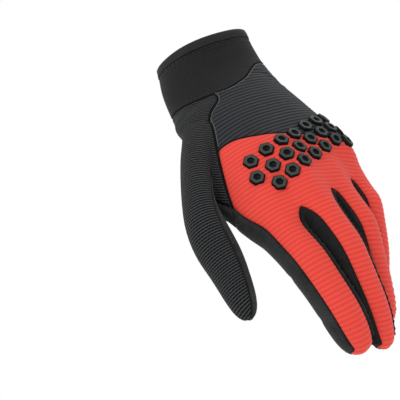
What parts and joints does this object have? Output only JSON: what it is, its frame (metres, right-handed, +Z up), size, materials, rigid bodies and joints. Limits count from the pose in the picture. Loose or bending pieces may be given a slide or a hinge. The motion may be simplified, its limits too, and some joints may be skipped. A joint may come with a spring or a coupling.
{
  "type": "motorcycle glove",
  "caption": "Left short-cuff motorcycle glove with ribbed red back, mesh thumb, suede palm and raised hexagonal knuckle pads, held in a worn shape.",
  "frame": {"origin": "centre of the cuff's top opening", "axes": "+Z up out of the cuff, fingers towards -Z, back of the hand towards -Y, thumb towards -X"},
  "size_m": [0.1267, 0.0922, 0.1982],
  "materials": {
    "neoprene": "matt neoprene",
    "binding_tape": "matt tape",
    "slate_rib": "ribbed knit",
    "red_rib": "ribbed knit",
    "black_mesh": "perforated mesh",
    "suede": "napped",
    "black_stretch": "stretch knit",
    "pad_rubber": "satin"
  },
  "bodies": {
    "root": {"cuff": "neoprene", "cuff_binding": "binding_tape", "back_upper": "slate_rib", "back_lower": "red_rib", "side_mesh": "black_mesh", "palm": "suede", "thumb_palm": "suede", "fourchette_1": "black_stretch", "fourchette_2": "black_stretch", "fourchette_3": "black_stretch", "knuckle_pad_01": "pad_rubber", "knuckle_pad_02": "pad_rubber", "knuckle_pad_03": "pad_rubber", "knuckle_pad_04": "pad_rubber", "knuckle_pad_05": "pad_rubber", "knuckle_pad_06": "pad_rubber", "knuckle_pad_07": "pad_rubber", "knuckle_pad_08": "pad_rubber", "knuckle_pad_09": "pad_rubber", "knuckle_pad_10": "pad_rubber", "knuckle_pad_11": "pad_rubber", "knuckle_pad_12": "pad_rubber", "knuckle_pad_13": "pad_rubber", "knuckle_pad_14": "pad_rubber", "knuckle_pad_15": "pad_rubber", "knuckle_pad_16": "pad_rubber", "knuckle_pad_17": "pad_rubber", "knuckle_pad_18": "pad_rubber", "knuckle_pad_19": "pad_rubber", "knuckle_pad_20": "pad_rubber", "knuckle_pad_21": "pad_rubber", "knuckle_pad_22": "pad_rubber"}
  },
  "joints": []
}
